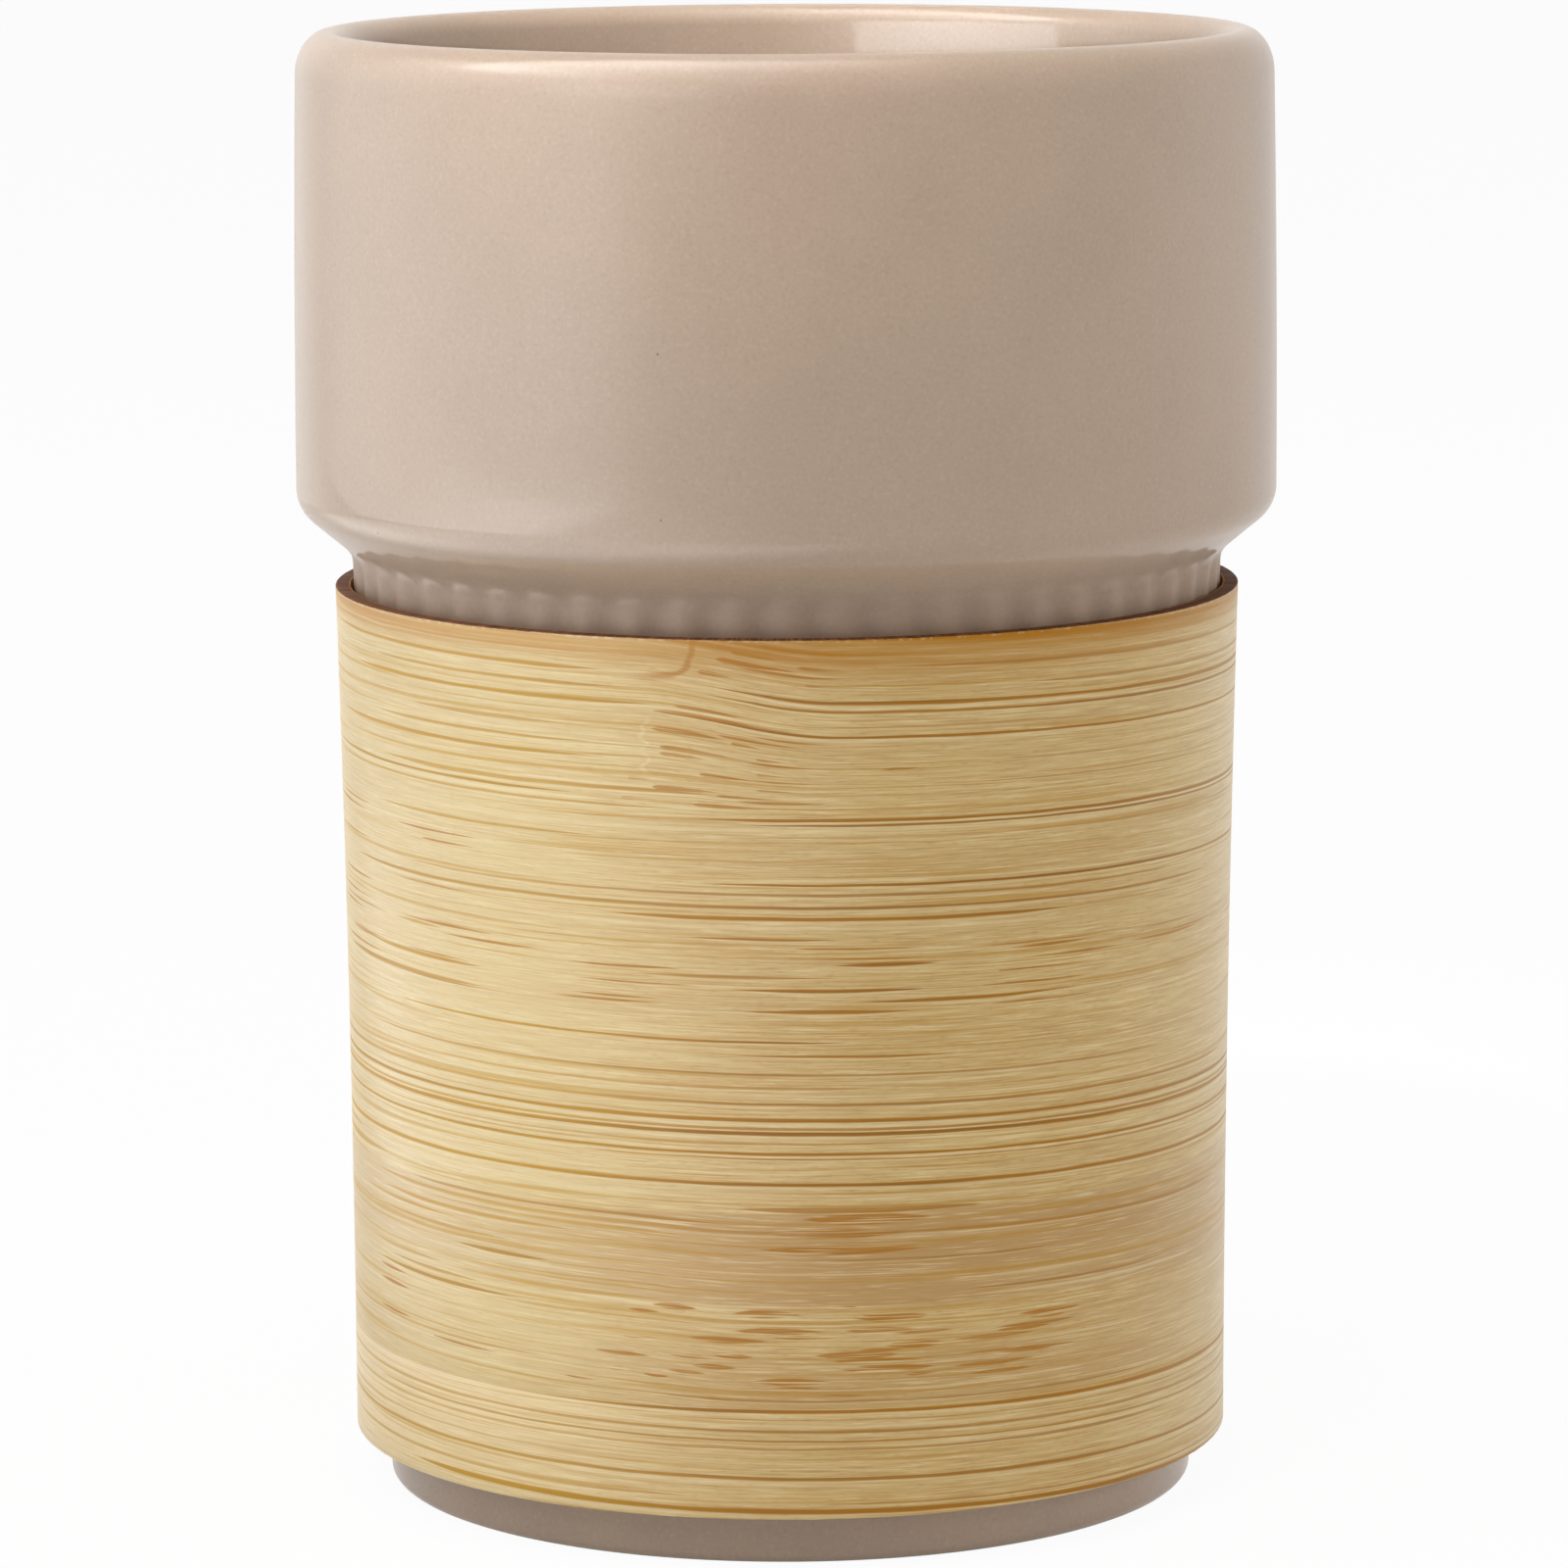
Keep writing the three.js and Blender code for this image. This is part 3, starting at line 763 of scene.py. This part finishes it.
    # Painted light: on the left, where the key light falls, the wood is painted paler and its lines golden
    paintedLeftLight = ease(turn, 0, -40) * ease(turn, -140, -90) * 0.8
    threadTone = blend(paintedLeftLight, tones["thread"], tones["litGold"])
    colour = blend(paintedLeftLight * 0.5, colour, tones[strip.get("left", "litLemon")])
    colour = blend(threads * 0.85, colour, threadTone)
    colour = blend(ease(streaks("thin"), 0.6, 0.69) * 0.4, colour, threadTone)
    if dashes is not None:
        colour = blend(dashes * (0.7 + 0.3 * ease(hair, 0.3, 0.7)), colour, tones["dash"])
        marks = larger(marks, dashes)
    colour = blend(fibres, colour, blend(paintedLeftLight, tones["fibre"], tones["litGold"]))
    colour = blend(fibres * ease(streak, 0.5, 0.65) * 0.5 * (1 - 0.5 * paintedLeftLight), colour, tones["dark"])
    colour = blend(band(turn, 38, 140, 40) * 0.25, colour, tones["light"])  # painted sheen: paler towards the right edge
    if strip is strips[-1]:  # scorched and torn along the upper edge
        reach = 0.75 + 0.25 * ease(abs(turn - 22), 50, 12)
        share = reach * (0.55 + 0.45 * ease(streak, 0.35, 0.65))
        scorch = ease(z, sleeveTop - sleeveEdge["scorchDepth"] * reach, sleeveTop - 0.4) * share
        colour = blend(scorch, colour, tones["scorch"])
        marks = larger(marks, scorch)
        low, high = (sleeveTop - depth for depth in sleeveEdge["tornDepth"])
        torn = ease(z, low, high) * ease(streaks("torn"), 0.5, 0.7)
        colour = blend(torn * 0.25, colour, tones["raw"])

    depth = start.make("ShaderNodeAttribute", {"attribute_name": "depth"}, out="Fac")
    cut = ease(depth, *sleeveEdge["cutDepth"])
    tick = ease(cloud(along / sleeveEdge["tick"], seed, seed, 0.0), 0.4, 0.65)  # the ends of the fibres
    colour = blend(cut, colour, blend(tick, tones["burnt"], tones["char"]))
    colour = blend(ease(depth, *sleeveEdge["boreDepth"]), colour, tones["inner"])
    relief = 0.5 * hair + 0.4 * streak - 0.4 * threads
    finishMaterial(start, {
        "Base Color": colour,
        "Roughness": 0.48 + 0.14 * hair - 0.06 * marks + 0.2 * cut,
        "Normal": bump(relief, 0.05, 0.5),
        "Specular IOR Level": 0.2,
        "Coat Weight": 0.7 * (1 - larger(cut, 0.9 * marks)),
        "Coat Roughness": 0.3,
    })
    return material


def stripSection(low, high, roundLow, roundHigh):  # closed loop, up the outer face and down the bore
    corner = sleeve["edgeRound"]
    wall = sleeve["wall"]
    outside = []
    if roundLow:
        outside += arc(sleeveOuter(low) - corner, low + corner, corner, -90, 0, 3)
    else:
        outside.append((sleeveOuter(low), low))
    for i in range(1, 8):
        z = low + (high - low) * i / 8
        outside.append((sleeveOuter(z), z))
    if roundHigh:
        outside += arc(sleeveOuter(high) - corner, high - corner, corner, 0, 90, 3)
    else:
        outside.append((sleeveOuter(high), high))
    inside = []
    for i in range(9):
        z = high + (low - high) * i / 8
        inside.append((sleeveOuter(z) - wall, z))
    return outside, inside


def rolledTree():  # a section rolled round the barrel from the seam back to the seam, with closed ends
    inputs = {"Columns": "NodeSocketInt", "Material": "NodeSocketMaterial"}
    for label in ("Opening", "Fray", "Seed", "Middle radius", "Middle height"):
        inputs[label] = "NodeSocketFloat"
    tree, start = newTree("rolled strip", inputs)
    columns = start.also("Columns")
    grid, column, radius, height, named = profileRows(start, columns)
    along = start.math("MINIMUM", start.math("MAXIMUM", column, 1.0), columns - 2.0)
    across = (along - 1.0) / (columns - 3.0)
    opening = start.also("Opening")
    turn = (across - 0.5) * (fullTurn - opening)
    ends = abs(column - along)  # 1 on the first and last column, which close the ends
    fibre = {"W": turn * 240.0 + start.also("Seed"), "Scale": 1.0, "Detail": 2.0}
    ragged = start.make("ShaderNodeTexNoise", {"noise_dimensions": "1D"}, fibre) - 0.5
    height = height + named("fray") * ragged * start.also("Fray")
    radius = radius + ends * (start.also("Middle radius") - radius)
    height = height + ends * (start.also("Middle height") - height)
    place = {"Geometry": grid, "Position": onCircle(radius, turn, height)}
    wall = grid.make("GeometryNodeSetPosition", {}, place)
    wall = store(wall, "depth", "FLOAT", "POINT", named("depth"))
    sheet = start.make("ShaderNodeCombineXYZ", {}, {"X": column / (columns - 1.0), "Y": named("lane")})
    wall = store(wall, "OFBake", "FLOAT2", "CORNER", sheet)
    closeTree(wall, start.also("Material"), 40)
    return tree


def addStrip(strip, tree, line):
    low, high = (corner.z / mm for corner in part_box(strip["name"]))
    first = strip is strips[0]
    last = strip is strips[-1]
    if not last:  # the glue line is too fine to show
        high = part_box(strips[strips.index(strip) + 1]["name"])[0].z / mm
    outside, inside = stripSection(low, high, first, last)
    points = outside + inside
    depths = [0.0] * len(outside) + [1.0] * len(inside)
    if last:  # the rounded edge is part of the dark cut
        depths[len(outside) - 3:len(outside)] = [0.08, 0.16, 0.24]
    frays = [0.0] * len(points)
    for i, (radius, z) in enumerate(points):
        if last and z > high - 0.5:
            frays[i] = -1.0
        if first and z < low + 0.5:
            frays[i] = 1.0
    weights = [1.0] * (len(outside) - 1) + [0.5] + [0.25] * (len(inside) - 1) + [0.5]
    points.append(points[0])
    depths.append(0.0)
    frays.append(frays[0])
    attributes = {"depth": depths, "fray": frays, "lane": lanes(points, weights)}
    piece = profileObject(strip["name"] + ".veneer", points, attributes)
    middle = (low + high) / 2
    grow(piece, tree, {
        "Columns": sleeve["columns"],
        "Opening": sleeve["seam"] / sleeveOuter(neckHeight),
        "Fray": sleeve["fray"] * mm,
        "Seed": strip["seed"],
        "Middle radius": (sleeveOuter(middle) - sleeve["wall"] / 2) * mm,
        "Middle height": middle * mm,
        "Material": bambooMaterial(strip, line),
    })
    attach(piece, "root")
    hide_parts(strip["name"])
    print("strip rolled:", strip["name"], len(piece.data.polygons), "faces")


rolled = rolledTree()
grainLine = lineTree()
for strip in strips:
    addStrip(strip, rolled, grainLine)


# Glue: the bar in the seam and the two bands behind the sleeve keep their solids
def glueMaterial():
    material, start = newMaterial("dried glue")
    x, y, z, turn = axes(start)
    lumps = cloud(x / 1.6, y / 1.6, z / 1.6)
    colour = blend(ease(lumps, 0.3, 0.7), srgb(206, 182, 138), srgb(188, 156, 106))
    finishMaterial(start, {
        "Base Color": colour, "Roughness": 0.4 + 0.2 * lumps, "Normal": bump(lumps, 0.05, 0.5),
    })
    return material


dried = glueMaterial()
for name in ("sleeve_seam_glue", "lower_glue_band", "upper_glue_band"):
    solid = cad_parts[name]
    solid.data.materials.clear()
    solid.data.materials.append(dried)
print("glue finished")

# Studio: white sweep, lamps in front, above and on the right, and cards that only the gloss sees.
# A card fades over a share of its width from each side and of its height from each end.
studio = {
    "floorSize": 6.0,  # metres, as are the panels' places
    "floor": srgb(240, 240, 240),
    "floorWhite": 0.95,  # share of plain white that the camera and reflections see
    "ambient": 0.28,
    "lamps": [
        {"name": "front lamp", "turn": -42, "distance": 0.8, "height": 0.95, "size": (0.9, 0.9),
         "glow": 1.9},
        {"name": "top lamp", "turn": -50, "distance": 0.35, "height": 1.1, "size": (1.0, 1.0),
         "glow": 1.95},
        {"name": "right lamp", "turn": 80, "distance": 1.2, "height": 0.4, "size": (0.8, 0.8),
         "glow": 2.2},
    ],
    "cards": [
        {"name": "left card", "turn": -82, "distance": 0.5, "height": 0.35, "size": (1.43, 0.7),
         "glow": 3.7, "across": (0.5, 0.35)},
        {"name": "table card", "turn": -58, "distance": 0.42, "height": 0.0005, "size": (1.0, 0.76),
         "glow": 4.4, "across": (0.5, 0.6), "along": (0.1, 0.1), "faces": "up"},
        {"name": "front card", "turn": -34, "distance": 0.52, "height": 0.25, "size": (0.7, 0.5),
         "glow": 4.1, "across": (0.5, 0.5), "along": (0.4, 0.5)},
        {"name": "right card", "turn": 110, "distance": 0.5, "height": 0.15, "size": (0.7, 0.3),
         "glow": 0.6, "across": (0.5, 0.5), "along": (0.3, 0.5)},
        {"name": "back card", "turn": -140, "distance": 0.5, "height": 0.3, "size": (0.6, 0.6),
         "glow": 0.4, "across": (0.5, 0.5), "along": (0.0, 0.5)},
        {"name": "high card", "turn": -25, "distance": 0.75, "height": 0.75, "size": (1.3, 0.7),
         "glow": 2.6, "across": (0.2, 0.4), "along": (0.8, 0.2)},
        {"name": "overhead card", "turn": -53, "distance": 0.5, "height": 0.95, "size": (1.6, 0.9),
         "glow": 9.5, "across": (0.1, 0.5), "along": (0.8, 0.0), "faces": "down"},
        {"name": "mouth card", "turn": -118, "distance": 0.0167, "height": 0.126, "size": (0.0263, 0.018),
         "glow": 7.0, "faces": 126},
    ],
    "spot": {"turn": -18, "distance": 0.55, "height": 0.6, "reach": 2.9, "power": 18.5,
             "behind": 12},  # millimetres behind the axis, where it points
}


def plainRays(start):  # 1 for what the camera, a reflection or glass sees directly
    path = start.make("ShaderNodeLightPath", out="Is Camera Ray")
    return larger(larger(path, path.also("Is Glossy Ray")), path.also("Is Transmission Ray"))


def addFloor():
    half = studio["floorSize"] / 2
    mesh = bpy.data.meshes.new("sweep")
    corners = [(-half, -half, 0), (half, -half, 0), (half, half, 0), (-half, half, 0)]
    mesh.from_pydata(corners, [], [(0, 1, 2, 3)])
    floor = bpy.data.objects.new("sweep", mesh)
    bpy.context.scene.collection.objects.link(floor)
    material, start = newMaterial("white sweep")
    paper = start.make("ShaderNodeBsdfDiffuse", {}, {"Color": studio["floor"]})
    white = start.make("ShaderNodeEmission", {}, {"Color": (1, 1, 1, 1), "Strength": 1.0})
    share = plainRays(start) * studio["floorWhite"]
    mix = start.make("ShaderNodeMixShader", {}, {0: share, 1: paper, 2: white})
    start.make("ShaderNodeOutputMaterial", {}, {"Surface": mix})
    mesh.materials.append(material)


def addWorld():
    world = bpy.data.worlds.new("studio")
    bpy.context.scene.world = world
    world.use_nodes = True
    world.node_tree.nodes.clear()
    start = Wire(world.node_tree)
    seen = plainRays(start)
    strength = studio["ambient"] + (1 - studio["ambient"]) * seen
    sky = start.make("ShaderNodeBackground", {}, {"Color": (1, 1, 1, 1), "Strength": strength})
    start.make("ShaderNodeOutputWorld", {}, {"Surface": sky})


def standing(lamp):  # where a lamp or a card stands, by its turn from the front
    angle = math.radians(lamp["turn"])
    return (lamp["distance"] * math.sin(angle), -lamp["distance"] * math.cos(angle), lamp["height"])


def addPanel(panel, isLamp):
    data = bpy.data.lights.new(panel["name"], "AREA")
    data.shape = "RECTANGLE"
    data.size, data.size_y = panel["size"]
    data.energy = panel["glow"] * math.pi * data.size * data.size_y  # it looks as bright as its glow
    if "across" in panel or "along" in panel:  # so that its reflection has no hard edge there
        data.use_nodes = True
        data.node_tree.nodes.clear()
        start = Wire(data.node_tree)
        place = start.make("ShaderNodeNewGeometry", out="Parametric")
        across = start.make("ShaderNodeSeparateXYZ", {}, {0: place})
        strength = 1.0
        for side, fades in ((across, panel.get("across")), (across.also("Y"), panel.get("along"))):
            if fades:
                strength = ease(side, -0.001, fades[0]) * ease(side, 1.001, 1 - fades[1]) * strength
        glow = start.make("ShaderNodeEmission", {}, {"Strength": strength})
        start.make("ShaderNodeOutputLight", {}, {"Surface": glow})
    lamp = bpy.data.objects.new(panel["name"], data)
    bpy.context.scene.collection.objects.link(lamp)
    lamp.visible_camera = False
    lamp.visible_glossy = not isLamp
    lamp.visible_diffuse = isLamp
    lamp.location = standing(panel)
    target = (cadBox[0] + cadBox[1]) / 2
    faces = panel.get("faces", panel["turn"] + 180)
    if isLamp:  # a lamp points at the cup
        lamp.rotation_euler = (lamp.location - target).to_track_quat("Z", "Y").to_euler()
    elif faces == "up":
        lamp.rotation_euler = (math.pi, 0, math.radians(panel["turn"]))
    elif faces == "down":
        lamp.rotation_euler = (0, 0, 0)
    else:  # a card stands upright
        lamp.rotation_euler = (math.pi / 2, 0, math.radians(faces + 180))


def addSpot(spot):  # lights the inside of the mouth
    data = bpy.data.lights.new("mouth spot", "SPOT")
    data.energy = spot["power"]
    data.spot_size = math.radians(2 * spot["reach"])
    data.spot_blend = 0.6
    data.shadow_soft_size = 0.03
    lamp = bpy.data.objects.new("mouth spot", data)
    bpy.context.scene.collection.objects.link(lamp)
    lamp.visible_glossy = False
    lamp.location = standing(spot)
    target = Vector((0, spot["behind"] * mm, cadBox[1].z))
    lamp.rotation_euler = (lamp.location - target).to_track_quat("Z", "Y").to_euler()


addFloor()
addWorld()
addSpot(studio["spot"])
for lamp in studio["lamps"]:
    addPanel(lamp, True)
for card in studio["cards"]:
    addPanel(card, False)
bpy.context.scene.view_settings.view_transform = "Standard"
print("studio lit")
